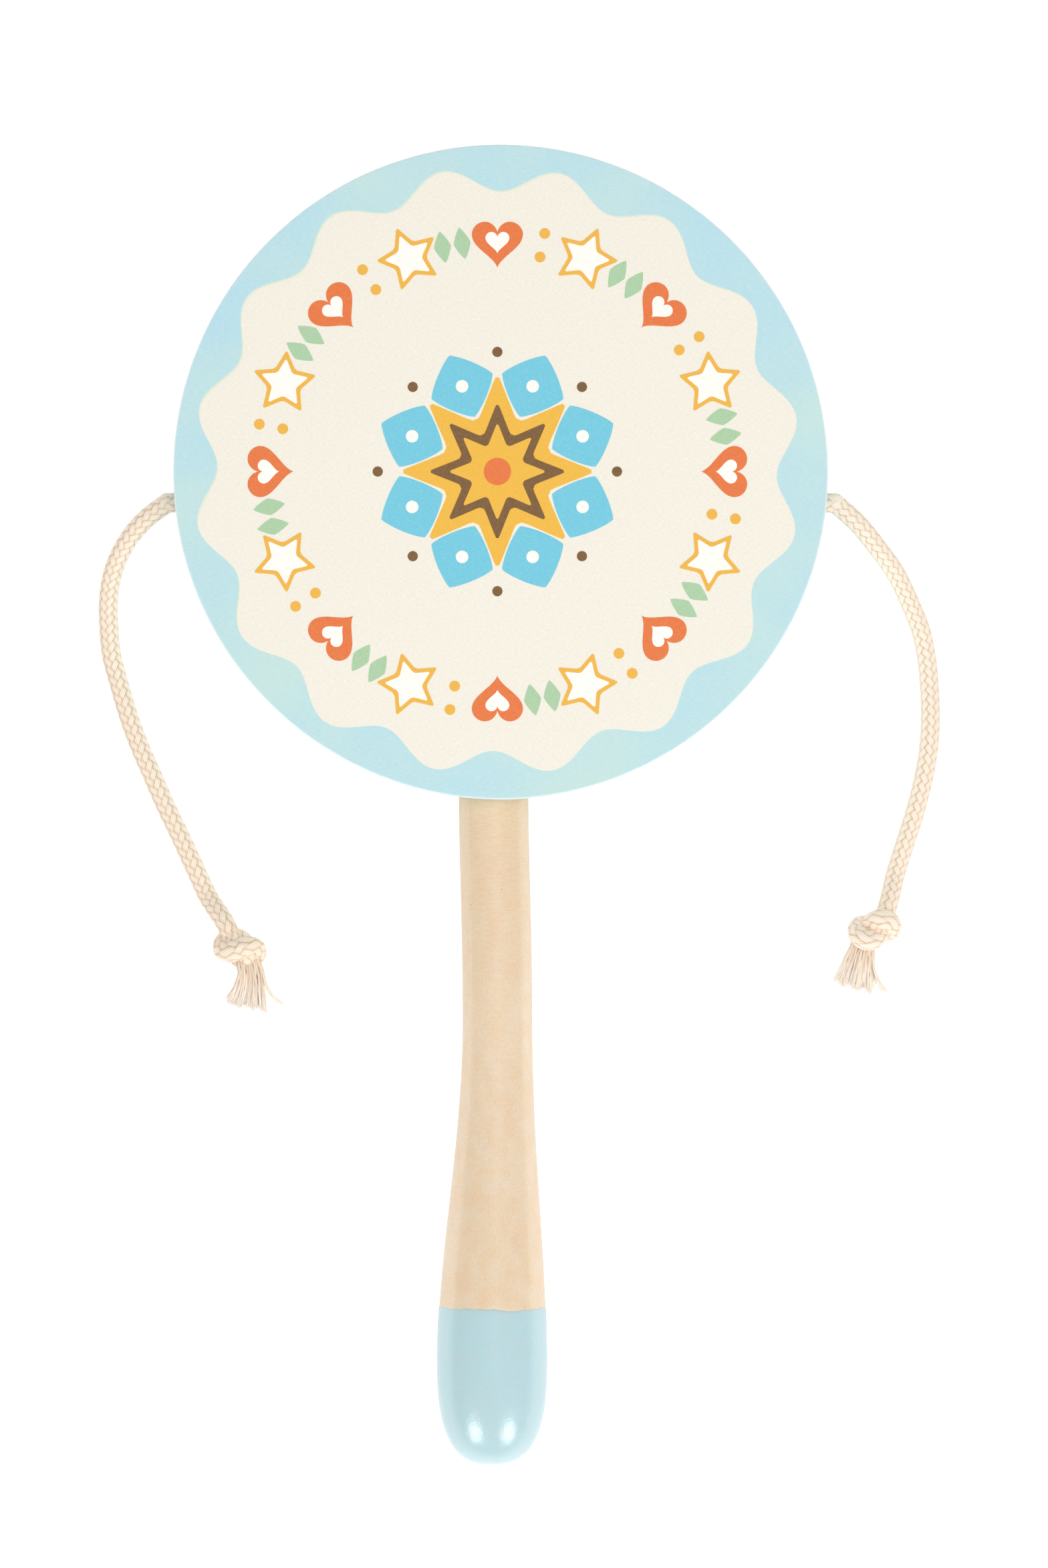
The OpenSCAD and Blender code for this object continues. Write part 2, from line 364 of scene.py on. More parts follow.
# Painted shade: the ring has the heads' paint a tone darker, as the low lamps light its side most
RING_PAINT_SHADED = satin_paint("pale_blue_ring_paint", "#A3D0DE", "#B2D6D8", "#C6E2E6")
WOOD = turned_wood("turned_pale_hardwood")
DIP = gloss_paint("pale_blue_gloss_lacquer")
# The cottons' first colour is painted shade where relief is low, the second painted light where it is high
BRAID = cotton("braided_cotton", "#CBA67C", "#FBEBD8", "#FFF5E8")
FRAY = cotton("frayed_cotton", "#D0B08A", "#FFF3E4", "#FFF8EE")
INKS = {
    "cream": printed_ink("cream_print", "#F8F4E9", "#EBE5D4"),
    "fringe": printed_ink("print_edge", "#E3ECD6", "#D4E6DC"),
    "yellow": printed_ink("yellow_print", "#F6C24A", "#EDB443"),
    "brown": printed_ink("brown_print", "#76542F", "#8A6A44"),
    "turquoise": printed_ink("turquoise_print", "#66C5E0", "#85CFDF"),
    "orange": printed_ink("orange_print", "#EC6A33", "#E58A50"),
    "green": printed_ink("green_print", "#A2CBA2", "#B9D4AE"),
    "white": printed_ink("white_print", "#FFFEFA", "#FAF5EA"),
    "gold": printed_ink("gold_print", "#F3B536", "#EDB95A"),
}


# Camera: straight above, a metre up, as the photograph was taken

IMAGE_H_PX = 2346
PX_MM = 0.1173
CAMERA_AT = (4.094, -54.77, 1000.0)
camera_data = bpy.data.cameras.new("camera")
camera_data.sensor_width = 36
camera_data.lens = camera_data.sensor_width * (CAMERA_AT[2] - front_high[2]) / (IMAGE_H_PX * PX_MM)
camera_data.clip_start, camera_data.clip_end = 0.05, 20
camera = bpy.data.objects.new("camera", camera_data)
camera.location = [c * MM for c in CAMERA_AT]
bpy.context.scene.collection.objects.link(camera)
bpy.context.scene.camera = camera


# Cords

cord_d = 3.5
# The braid's crowns stand this far over the cord's measured radius
crown_over = 0.03
cord_r = cord_d / 2 + crown_over
# Height of a cord's middle where it lies on the table
lying_z = 1.8
braid_pitch = 1.75
braid_columns = 8
# Points to a strand's width, both along the cord and round it, so that its edges fall on points
strand_points = 14
braid_sides = braid_columns * strand_points
ring_step = braid_pitch / strand_points
# Depths of the braid's forms: strand over strand, the crown of a strand, and its three yarns
weave_depth, crown_depth, yarn_depth = 0.14, 0.05, 0.04
braid_depth = weave_depth + crown_depth + yarn_depth
dive_steepness = 2.2
# Points on a strand's edge count as inside it, within this share of its width
edge_slack = 1e-6
# How far into a cord's end ball its last ring stands, as a share of its radius; a fan closes it
ball_end = 0.999

# Each cord's route from its mouth: x and y, then its height as a share of the drop to the table
ROUTES = {
    "left": [
        (0, 0, 1), (-4, -3, 0.92), (-7.5, -7, 0.72), (-10, -12, 0.48), (-11, -17, 0.28),
        (-11.05, -22, 0.13), (-10.6, -27, 0.04), (-9.3, -32, 0), (-7.7, -37.5, 0), (-5.7, -43, 0),
        (-3.3, -48.5, 0), (-0.9, -54, 0), (1.5, -59, 0), (4.05, -64.5, 0), (6.6, -70, 0.02)],
    "right": [
        (0, 0, 1), (4, -3.5, 0.92), (7.9, -8, 0.72), (11.3, -12.5, 0.48), (13.85, -17.5, 0.28),
        (15.95, -22.5, 0.13), (17.05, -27.5, 0.04), (17.6, -33, 0), (17.75, -38.5, 0), (17.4, -44, 0),
        (16.4, -49.5, 0), (15, -55, 0), (13.25, -60.5, 0), (11.5, -66, 0.02)],
}
# The way that each tassel points, and the turn of its knot about the cord
TASSEL_WAYS = {"left": (3.5, -10.5), "right": (-4, -10.5)}
KNOT_TURNS = {"left": 0, "right": 180}
stopper_turn_deg = 60
# Painted light and shade: the right cord is coloured a little paler and the left one a little darker, as if
# more light fell from the right
CORD_SIDE_LIGHT = {"left": 0.92, "right": 1.08}
# How far the cord runs on inside its knot, and how far back in the knot the tassel starts
cord_overlap, tassel_overlap = 1.5, 1.8
neck_rows = 100


def routed(side):
    """A cord's route in the frame: the mouth plus each offset, and the height between the table and the
    mouth."""
    route = np.array(ROUTES[side], float)
    mouth = joint_mm[f"{side}_cord_strike"]
    heights = lying_z + (mouth[2] - lying_z) * route[:, 2]
    return np.column_stack([mouth[:2] + route[:, :2], heights])


def braid_relief(along, round_share):
    """Height of a sixteen-strand braid over its tube. Eight flat strands wind each way, one pitch apart,
    and go over two and under two of the other hand. Counted in strands, a point is at along / pitch +
    column on one hand and at along / pitch - column on the other. A strand's height is its rise, a
    steepened cosine with a quarter turn for each strand that it crosses, plus its crown,
    1 - (2 across)^2, and its three yarns; the higher hand shows."""
    column = braid_columns * round_share
    first, second = along / braid_pitch + column, along / braid_pitch - column
    heights = []
    for own, other, lag in ((first, second, 0), (second, first, 1)):
        strand = np.floor(own + edge_slack)
        across = own - strand - 0.5
        rise = np.tanh(dive_steepness * np.cos(np.pi / 2 * (other - strand + lag)))
        crown = 1 - (2 * across) ** 2
        yarns = np.cos(6 * np.pi * across)
        heights.append(weave_depth * rise + crown_depth * crown + yarn_depth * yarns)
    return np.maximum(*heights)


def braided_tube(line, radius, sides):
    """Points, faces and relief of a braided cord along even points. The tube's radius is the cord's, with
    the braid's relief on it, and falls to a half ball at each end: times the root of
    1 - (distance past the ball's centre / radius)^2."""
    step = length_of(line) / (len(line) - 1)
    along = step * np.arange(len(line))[:, None]
    turn = np.linspace(0, 1, sides, endpoint=False)[None]
    # The braid is drawn as if its rings were whole steps apart, so that its strands' edges fall on them
    whole_steps = round(step / ring_step) * ring_step
    relief = braid_relief(along * whole_steps / step, turn)
    past = np.maximum(radius - along, along - along[-1] + radius) / radius
    reach = (radius - braid_depth + relief) * np.sqrt(1 - np.clip(past, 0, ball_end) ** 2)
    side, up = carried_frames(line)
    angle = 2 * np.pi * turn[..., None]
    outwards = side[:, None] * np.cos(angle) + up[:, None] * np.sin(angle)
    points, faces = closed_rings(line[:, None] + reach[..., None] * outwards)
    shown = np.clip(relief / braid_depth, 0, 1)
    return points, faces, np.concatenate([shown.ravel(), shown[[0, -1]].mean(axis=1)])


# In the knot: distance between turns that touch, the cord's radius, and where its leads reach and are cut
knot_gauge, knot_cord_r = 2.6, 1.95
knot_reach, knot_cut = 9, 4.2
table_gap = 0.05
# Scale of the open knot along each axis, in gauges, and the half range of its parameter
open_x, open_y, open_z = 0.85, 0.65, 0.16
open_half, open_points = 2.3, 600
# Points of the knot's line, rounds of drawing it up, and passes in each round
knot_points, knot_rounds, knot_passes = 110, 90, 6
# In a pass: how far ends are drawn, points eased and turns pushed, and how turns that touch share a push
end_draw, easing, turn_push, push_sharing = 0.05, 0.5, 1.6, 0.7
# Points nearer than this along the line, in gauges, belong to one turn
same_turn = 1.5
# Drawn up hard, the knot is shorter across and fuller along the cord than its own stiffness leaves it
knot_draw = np.array([0.71, 1.12, 1.3])


def overhand_knot(gauge, reach):
    """Centreline of an overhand knot drawn up along Z. It starts as the open trefoil (t^3 - 3t,
    t^4 - 4t^2 + 2, t^5 - 10t). Then its ends are drawn to the axis, each point is eased towards the middle
    of its neighbours, and turns that come closer than the cord's gauge push each other apart, over and
    over."""
    t = np.linspace(-open_half, open_half, open_points)
    line = gauge * np.stack([
        open_x * (t**3 - 3 * t), open_y * (t**4 - 4 * t**2 + 2), open_z * (t**5 - 10 * t)], -1)
    line = even_spacing(line, knot_points)
    index = np.arange(knot_points)
    ends = np.array([[0, 0, -reach], [0, 0, reach]])
    for _ in range(knot_rounds):
        for _ in range(knot_passes):
            line[[0, -1]] += end_draw * (ends - line[[0, -1]])
            line[1:-1] += easing * ((line[:-2] + line[2:]) / 2 - line[1:-1])
            gap = line[:, None] - line[None]
            far = np.linalg.norm(gap, axis=-1) + 1e-9
            apart = np.abs(index[:, None] - index) * length_of(line) / knot_points
            over = np.where((apart > same_turn * gauge) & (far < gauge), gauge - far, 0)
            push = (gap / far[..., None] * over[..., None] / 2).sum(1)
            touching = np.maximum((over > 0).sum(1), 1)[:, None]
            line[1:-1] += turn_push * (push / touching**push_sharing)[1:-1]
        line = even_spacing(line, knot_points)
    return line


# The knot, and its line between the heights where its two leads are cut
KNOT = overhand_knot(knot_gauge, knot_reach) * knot_draw
within_cut = np.flatnonzero(np.abs(KNOT[:, 2]) <= knot_cut)
KNOT_CORE = KNOT[within_cut[0]:within_cut[-1] + 1]


def laid_knot(middle, way, turn_deg):
    """The knot's core with its axis along a level way, turned about it, and its middle at a place."""
    turn = math.radians(turn_deg)
    c, s = math.cos(turn), math.sin(turn)
    x, y, z = KNOT_CORE.T[:, :, None]
    axis = unit(np.array(way, float))
    across = unit(np.cross([0, 0, 1.0], axis))
    lift = np.cross(axis, across)
    return middle + (c * x - s * y) * across + (s * x + c * y) * lift + z * axis


strands, strand_rows, strand_sides = 640, 9, 4
# A strand's radius at its root, the share of it that is lost by the tip, and how late it is lost
strand_r, strand_taper, taper_power = 0.2, 0.75, 1.3
# Half the width and half the height of a tassel's oval root, and how much lower it is at its ends
root_half, root_rise, root_lowering = 1.9, 1.1, 0.8
# The strands come in yarns, which swell in their middle and draw together towards their tips
fan_yarns, yarn_swell, yarn_draw = 9, 0.2, 0.8
# Tips stray across, as a share of the fan's half width, and along it, by chance and by a sine over the
# yarns with this many radians from one to the next
place_spread, length_spread, yarn_beat = 0.05, 0.35, 2.1
# Height of the lowest tips, and half of what the highest have over it
tip_low, tip_rise = 0.35, 1.3
# The pull on a strand at its root, along the cord and outwards, and at its tip, along it and upwards
root_run, root_spread, tip_run, tip_lift = 3.0, 0.15, 2.6, 0.5
# Crimp of the yarns: waves to a strand, part of a wave from one yarn to the next, and height
crimp_waves, crimp_lag, crimp_h = 2.6, 0.37, 0.16
# From this place on, strands belong to the stray lock, whose tips lie this close together
stray_from, stray_spread = 0.9, 0.22
# Tone of a strand, as relief: at the root, the painted light on a yarn's crown, by chance, and the painted
# light that it gains by the tip
root_tone, crown_light, tone_spread, tip_light = 0.2, 0.2, 0.12, 0.6
# From each knot's middle: the two corners of its tassel's fan, and the tip of one stray lock
TASSEL_TIPS = {
    "left": ((-2.4, -9.6), (4.8, -11.0), (7.4, -9.8)),
    "right": ((-7.2, -9.2), (0.2, -11.2), (2.2, -11.2)),
}
TASSEL_SEEDS = {"left": 11, "right": 23}


def strand_lines(start, way, tips, random):
    """Lines of a tassel's strands, how near each lies to its yarn's crown, and the way up. A strand's place
    runs from -1 to 1 across the fan. It is a cubic Bezier curve from an oval at the cut cord to the line
    between the fan's corners, low over the table, with the crimp of the yarn that it was laid in: a sine
    across it that fades to the tip. Strands of one yarn draw together, and the last few at the edge make
    the stray lock."""
    corner, other_corner, stray = tips
    place = random.uniform(-1, 1, strands)
    depth = random.uniform(-1, 1, strands)
    yarn = np.round(place * fan_yarns / 2)
    inside = place * fan_yarns / 2 - yarn
    crown = 1 - 4 * inside**2
    across = unit(np.cross([0, 0, 1.0], way))
    lift = np.cross(way, across)
    # The fan runs from its first corner to its second, so the root's places run the same way
    across *= np.sign((other_corner - corner) @ across[:2])
    high = depth * np.sqrt(1 - root_lowering * place**2) + yarn_swell * crown
    root = start + root_half * place[:, None] * across + root_rise * high[:, None] * lift
    drawn = place - yarn_draw * inside / fan_yarns + random.normal(0, place_spread, strands)
    flat = corner + (drawn[:, None] + 1) / 2 * (other_corner - corner)
    uneven = random.normal(0, length_spread, strands) + length_spread * np.sin(yarn_beat * yarn)
    flat += way[:2] * uneven[:, None]
    tip = np.column_stack([flat, tip_low + tip_rise * (depth + 1) + yarn_swell * crown])
    leave = root + way * root_run + (root - start) * root_spread
    arrive = tip - unit(tip - leave) * tip_run + [0, 0, tip_lift]
    loose = place > stray_from
    tip[loose, :2] = stray + random.normal(0, stray_spread, (loose.sum(), 2))
    t = np.linspace(0, 1, strand_rows)[None, :, None]
    lines = ((1 - t)**3 * root[:, None] + 3 * (1 - t)**2 * t * leave[:, None]
             + 3 * (1 - t) * t**2 * arrive[:, None] + t**3 * tip[:, None])
    crimp = np.sin(2 * np.pi * (crimp_waves * t + crimp_lag * yarn[:, None, None])) * (1 - t)
    return lines + crimp_h * crimp * across, crown, lift


def frayed_end(start, way, tips, seed):
    """Points, faces and relief of a tassel: each strand is a thin square tube along its line, which tapers
    to the tip and is painted paler there, as painted light."""
    random = np.random.default_rng(seed)
    lines, crown, lift = strand_lines(start, way, tips, random)
    t = np.linspace(0, 1, strand_rows)
    ways = unit(np.gradient(lines, axis=1))
    side = unit(np.cross(ways, lift))
    up = np.cross(side, ways)
    angle = turns(strand_sides)
    ring = side[:, :, None] * np.cos(angle)[:, None] + up[:, :, None] * np.sin(angle)[:, None]
    taper = strand_r * (1 - strand_taper * t**taper_power)
    points = (lines[:, :, None] + taper[:, None, None] * ring).reshape(-1, 3)
    points[:, 2] = np.maximum(points[:, 2], table_gap)
    per_strand = strand_rows * strand_sides
    first = (np.arange(strands) * per_strand)[:, None, None]
    sides = (first + ring_faces(strand_rows, strand_sides)).reshape(-1, 4)
    near = np.arange(strand_sides)[::-1]
    far = np.arange(strand_sides) + per_strand - strand_sides
    caps = (first + np.stack([near, far])).reshape(-1, 4)
    # Painted light: strands on a yarn's crown and towards their tips are coloured paler
    tone = root_tone + crown_light * crown + random.uniform(-tone_spread, tone_spread, strands)
    shown = np.clip(tone[:, None] + tip_light * t**2, 0, 1)
    return points, [np.concatenate([sides, caps])], np.repeat(shown, strand_sides)


for side, sign in SIDES.items():
    root_body, tail_body = f"{side}_root", f"{side}_tail"
    mouth, bend = joint_mm[f"{side}_cord_strike"], joint_mm[f"{side}_cord_bend"]
    knot_middle = middle_of(f"{side}_knot")
    tassel_way = unit(np.array([*TASSEL_WAYS[side], 0.0]))
    # Painted light and shade on this cord's colour, from the side that it lies on
    tone = CORD_SIDE_LIGHT[side]

    # The striking knot, on the table, and its tassel
    core = laid_knot(knot_middle, tassel_way, KNOT_TURNS[side])
    core[:, 2] += knot_cord_r + table_gap - core[:, 2].min()
    core = smooth_line(core, ring_step)
    points, faces, relief = braided_tube(core, knot_cord_r, braid_sides)
    knot = piece(f"{side}_knot_turns", points, faces, tail_body, BRAID, "cotton_cord", [f"{side}_knot"],
                 relief=tone * relief)
    tips = knot_middle[:2] + np.array(TASSEL_TIPS[side])
    points, faces, relief = frayed_end(
        core[-1] - tassel_way * tassel_overlap, tassel_way, tips, TASSEL_SEEDS[side])
    tassel = piece(f"{side}_tassel_strands", points, faces, tail_body, FRAY, "cotton_fray",
                   [f"{side}_tassel"], relief=relief)

    # The cord, from a ball's depth inside its mouth to the knot
    into_knot = np.stack([core[0], core[int(cord_overlap / ring_step)]])
    path = smooth_line(np.concatenate([routed(side), into_knot]), ring_step)
    inside = np.linspace(cord_r, ring_step, round(cord_r / ring_step))[:, None]
    behind = mouth - unit(path[1] - path[0]) * inside
    points, faces, relief = braided_tube(np.concatenate([behind, path]), cord_r, braid_sides)
    cord = piece(f"{side}_cord_braid", points, faces, None, BRAID, "cotton_cord",
                 [f"{side}_cord_root", f"{side}_cord_tail"], relief=tone * relief)
    nearest = np.linalg.norm(path - bend, axis=1).argmin()
    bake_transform(cord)

    # The length in the hole, which ends in a ball at the mouth, and the stopper knot inside the drum
    neck_low, neck_high = box_mm(f"{side}_cord_neck")
    inner = neck_high[0] if sign < 0 else neck_low[0]
    neck_line = np.linspace([inner, mouth[1], mouth[2]], mouth + [sign * cord_r, 0, 0], neck_rows)
    points, faces, relief = braided_tube(neck_line, cord_r, braid_sides)
    piece(f"{side}_neck_braid", points, faces, "drum", BRAID, "cotton_cord", [f"{side}_cord_neck"],
          relief=tone * relief)
    stopper = laid_knot(middle_of(f"{side}_stopper_knot"), (sign, 0, 0), stopper_turn_deg)
    points, faces, relief = braided_tube(smooth_line(stopper, 2 * ring_step), knot_cord_r, braid_sides // 2)
    piece(f"{side}_stopper_turns", points, faces, "drum", BRAID, "cotton_cord", [f"{side}_stopper_knot"],
          relief=relief)


# Heads, with their print

edge_r = 0.35
edge_rows = 9
# The part of the rounded edge that gets a painted highlight, in degrees, and how strong it is
LIT_EDGE_DEG = (30, 70)
edge_highlight = 0.5
glue_line = 0.15
head_segments = 288
# The boards stand this far inside the drum's height, and the layers of print fill it
print_room = 0.2
layer = 0.035


def head_board(inner_z, outer_z):
    """Points, faces and painted edge highlight of a lathe-cut board: a small bevel at the glue line, an
    upright edge, a quarter circle and a flat face, turned about the drum's axis."""
    up = np.sign(outer_z - inner_z)
    degrees = np.linspace(0, 90, edge_rows)
    arc = np.radians(degrees)
    bevel = [[drum_r - 2 * glue_line, inner_z], [drum_r - glue_line, inner_z],
             [drum_r, inner_z + up * glue_line]]
    edge = np.stack([drum_r - edge_r * (1 - np.cos(arc)), outer_z - up * edge_r * (1 - np.sin(arc))], -1)
    face = [[drum_r - edge_r - glue_line, outer_z], [drum_r / 2, outer_z]]
    profile = np.concatenate([bevel, edge, face])[:, None]
    angle = turns(head_segments)
    around = np.stack([np.cos(angle), np.sin(angle), np.zeros(head_segments)], -1)
    points, faces = closed_rings(profile[..., :1] * around + profile[..., 1:] * np.array([0, 0, 1.0]))
    # Painted highlight on the rounded edge between these angles, where it catches the light
    wear_and_lit_edge = edge_highlight * ((degrees > LIT_EDGE_DEG[0]) & (degrees < LIT_EDGE_DEG[1]))
    edge_light = np.concatenate([np.zeros(len(bevel)), wear_and_lit_edge, np.zeros(len(face))])
    return points, faces, np.concatenate([np.repeat(edge_light, head_segments), [0, 0]])


# Outlines of the print, about their own middle

dot_points, heart_points, lozenge_points, field_points = 36, 72, 64, 480
lozenge_power = 1.2
corner_cut, corner_cuts = 0.1, 2


def dot(radius):
    """A round dot."""
    a = turns(dot_points)
    return radius * np.stack([np.cos(a), np.sin(a)], -1)


def heart(width):
    """The heart of x = 16 sin^3 t, y = 13 cos t - 5 cos 2t - 2 cos 3t - cos 4t, with its point down."""
    t = turns(heart_points)
    y = 13 * np.cos(t) - 5 * np.cos(2 * t) - 2 * np.cos(3 * t) - np.cos(4 * t)
    return np.stack([16 * np.sin(t) ** 3, y], -1) * width / 32


def lozenge(length, width):
    """A lozenge with soft corners: |2x / width|^1.2 + |2y / length|^1.2 = 1."""
    t = turns(lozenge_points)
    round_xy = np.stack([np.cos(t), np.sin(t)], -1)
    return np.array([width, length]) / 2 * np.sign(round_xy) * np.abs(round_xy) ** (2 / lozenge_power)


def star(count, outer, inner):
    """A straight-sided star with one arm up; its corners, at outer and inner radius by turns, are cut off
    twice at a tenth of each side, which rounds them."""
    a = turns(2 * count)
    reach = np.where(np.arange(2 * count) % 2, inner, outer)
    corners = np.stack([-reach * np.sin(a), reach * np.cos(a)], -1)
    for _ in range(corner_cuts):
        onward = np.roll(corners, -1, axis=0) - corners
        cuts = [corners + corner_cut * onward, corners + (1 - corner_cut) * onward]
        corners = np.stack(cuts, 1).reshape(-1, 2)
    return corners


def placed(outline, radius, angle_deg, aside=0.0):
    """An outline moved aside and out to a radius, and turned so that its own up points out at an angle."""
    turn = math.radians(angle_deg - 90)
    c, s = math.cos(turn), math.sin(turn)
    return (outline + [aside, radius]) @ np.array([[c, s], [-s, c]])


def eighths(make, first_deg=0.0):
    """The outlines that make gives at each eighth of a turn."""
    return [outline for k in range(8) for outline in make(first_deg + 45 * k)]


# Distance of the motifs from the middle: the star's lozenges and outer dots, and the garland
lozenge_at, outer_dot_at, garland_at = 16.2, 21.0, 40.5


def rosette():
    """The middle of the print, as rows of ink, layer and outlines: a patchwork star of eight points."""
    return [
        ("turquoise", 2, eighths(lambda a: [placed(lozenge(11.6, 11.6), lozenge_at, a)], 22.5)),
        ("white", 3, eighths(lambda a: [placed(dot(1.1), lozenge_at, a)], 22.5)),
        ("yellow", 2, [star(8, 17.4, 9.2)]),
        ("brown", 3, [star(8, 12.3, 6.5)]),
        ("yellow", 4, [star(8, 8.7, 4.6)]),
        ("orange", 5, [dot(2.4)]),
        ("brown", 2, eighths(lambda a: [placed(dot(0.9), outer_dot_at, a)])),
    ]


def garland():
    """The ring of the print: hearts and five-pointed stars by turns, with green lozenges and gold dots
    between."""
    return [
        ("orange", 2, eighths(lambda a: [placed(heart(9.0), garland_at, a)])),
        ("white", 3, eighths(lambda a: [placed(heart(4.2), garland_at, a)])),
        ("gold", 2, eighths(lambda a: [placed(star(5, 5.9, 3.0), garland_at, a)], 22.5)),
        ("white", 3, eighths(lambda a: [placed(star(5, 4.4, 2.2), garland_at, a)], 22.5)),
        ("green", 2, eighths(lambda a: [
            placed(lozenge(5.6, 3.0), garland_at, a, aside) for aside in (-1.75, 1.75)], 11.25)),
        ("gold", 2, eighths(lambda a: [
            placed(dot(0.95), garland_at + up, a) for up in (-2.1, 2.1)], 33.75)),
    ]


# The print lies this far off the head's middle
print_shift = np.array([-0.58, 0.07])
scallops = 16
scallop_r, scallop_h = 51.2, 2.15
# Turn of the scallops; without it the dip between two of them would lie at the right
scallop_turn_deg = -0.8
# A first pass of ink lies a little up and to the left of the field's own, and shows as a thin edge there
fringe_shift = np.array([-0.2, 0.26])
fringe_level, field_level = 0.5, 1


def scalloped_field():
    """The field's wavy edge: its radius plus the scallops' height times the cosine of their count times
    the angle."""
    a = turns(field_points)
    first = math.radians(180 / scallops + scallop_turn_deg)
    reach = scallop_r + scallop_h * np.cos(scallops * (a - first))
    return np.stack([reach * np.cos(a), reach * np.sin(a)], -1)


def plates(name, ink, outlines, level, face_z, out, slot):
    """Thin closed plates of ink: each outline at the layer's top and at its foot, with a fan to the middle
    of each."""
    top, foot = face_z + out * layer * level, face_z - out * layer
    all_points, fans, walls, start = [], [], [], 0
    for outline in outlines:
        n = len(outline)
        middle = outline.mean(axis=0)
        ring = np.concatenate([outline, outline, [middle, middle]])
        heights = np.concatenate([np.full(n, top), np.full(n, foot), [top, foot]])
        all_points.append(np.column_stack([ring, heights]))
        here = np.arange(n) + start
        after = (np.arange(n) + 1) % n + start
        up, down = np.full(n, start + 2 * n), np.full(n, start + 2 * n + 1)
        fans += [np.stack([up, here, after], -1), np.stack([down, after + n, here + n], -1)]
        walls.append(np.stack([here, here + n, after + n, after], -1))
        start += 2 * n + 2
    faces = [np.concatenate(fans), np.concatenate(walls)]
    made = piece(name, np.concatenate(all_points), faces, "drum", INKS[ink], slot)
    made.data.polygons.foreach_set("use_smooth", np.zeros(len(made.data.polygons), bool))


def print_on(head, face_z, out, slot, motifs):
    """The scalloped field and its motifs on one head. Motifs of one ink and layer make one piece."""
    field = scalloped_field() + print_shift
    plates(f"{head}_print_edge", "fringe", [field + fringe_shift], fringe_level, face_z, out, slot)
    plates(f"{head}_print_field", "cream", [field], field_level, face_z, out, slot)
    for row, (ink, level, outlines) in enumerate(motifs):
        shifted = [outline + print_shift for outline in outlines]
        plates(f"{head}_print_{row}_{ink}", ink, shifted, level, face_z, out, slot)


front_face = front_high[2] - print_room
back_face = back_low[2] + print_room
points, faces, edge = head_board(front_low[2], front_face)
piece("front_head_board", points, faces, "drum", RIM_PAINT, "front_paint", ["front_head"], edge=edge)
points, faces, edge = head_board(back_high[2], back_face)
piece("back_head_board", points, faces, "drum", RIM_PAINT, "back_paint", ["back_head"], edge=edge)
print_on("front", front_face, 1, "front_paint", rosette() + garland())
print_on("back", back_face, -1, "back_paint", rosette())


# Ring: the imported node, painted

ring = frame["nodes"]["drum_ring"]
ring.data.materials.clear()
ring.data.materials.append(RING_PAINT_SHADED)


# Handle

neck_r = 6.2
flare_ease = 1.1
dome_fullness = 2.7
tenon_r = 4.5
shoulder_depth = 1.5
handle_sides = 192
shaft_rows, dome_rows, coat_rows = 120, 40, 40
# The dome's last ring stands just short of its tip, which a fan closes
last_ring_deg = 89.2
# Rings this close together make a sharp corner
corner_gap = 0.01
# The stick's bow to the right, the share of it that the grip leans back, and the power that sets its place
bow, bow_lean, bow_skew = 0.8, 0.35, 0.8
paint_t = 0.12
# Waves of the dip's edge round the stick: height, number, and where they start, in radians
DIP_WAVES = ((0.16, 2, 0.6), (0.10, 5, 2.1), (0.06, 11, 0.4), (0.04, 23, 1.2), (0.03, 41, 0))
# Section of the paint's lip: distance along the stick, and share of the paint's thickness over the wood
DIP_LIP = np.array([(0.0, -1.0), (0.0, 0.06), (0.1, 0.3), (0.3, 0.65), (0.65, 0.9), (1.1, 1.0)])
# The paint's last ring is drawn in to this share of its radius
tip_draw = 0.98


def handle_radius(at):
    """The turned profile: a straight neck, a smooth swelling (t^2 (3 - 2t)) to the grip, and a dome that is
    fuller than an ellipse, (r / grip)^2.7 + (x / dome)^2.7 = 1."""
    t = np.clip((at - neck_end_at) / (grip_at - neck_end_at), 0, 1) ** flare_ease
    swell = neck_r + (grip_r - neck_r) * t * t * (3 - 2 * t)
    x = np.clip((at - grip_at) / dome_l, 0, 1)
    return swell * (1 - x**dome_fullness) ** (1 / dome_fullness)


def handle_bow(at):
    """How far the stick's middle stands to the right of straight: a hump of a sine squared, fullest near
    the neck's end, less a steady lean."""
    u = np.clip((at - drum_r) / (grip_at - drum_r), 0, 1)
    return bow * np.sin(np.pi * u**bow_skew) ** 2 - bow_lean * bow * u


def handle_rings(at, radius):
    """Rings round the bowed stick; at and radius are grids of distance from the drum's axis and of
    radius."""
    angle = turns(handle_sides)
    return np.stack(np.broadcast_arrays(
        handle_x + handle_bow(at) + radius * np.cos(angle), -at, mid_z + radius * np.sin(angle)), -1)


def dip_edge(angle):
    """Where the paint starts round the stick: a level line plus a sum of sines, as small waves."""
    height, number, start = np.array(DIP_WAVES).T[:, :, None]
    return dip_at + (height * np.sin(number * angle + start)).sum(0)


# The stick: a tenon in the drum, a shoulder, the shaft and the dome
dome_angles = np.radians(np.linspace(0, last_ring_deg, dome_rows)[1:])
dome_ats = grip_at + dome_l * np.sin(dome_angles) ** (2 / dome_fullness)
shoulder_at = drum_r - shoulder_depth
shaft_at = drum_r - 1
tenon_ats = np.array([tenon_at, shoulder_at - corner_gap])
stick_ats = np.concatenate([
    [shoulder_at, shoulder_at + corner_gap], np.linspace(shaft_at, grip_at, shaft_rows), dome_ats])
ats = np.concatenate([tenon_ats, stick_ats])
radii = np.concatenate([np.full(len(tenon_ats), tenon_r), handle_radius(stick_ats)])
points, faces = closed_rings(handle_rings(ats[:, None], radii[:, None]))
piece("handle_stick", points, faces, "drum", WOOD, "handle_wood", ["handle"])

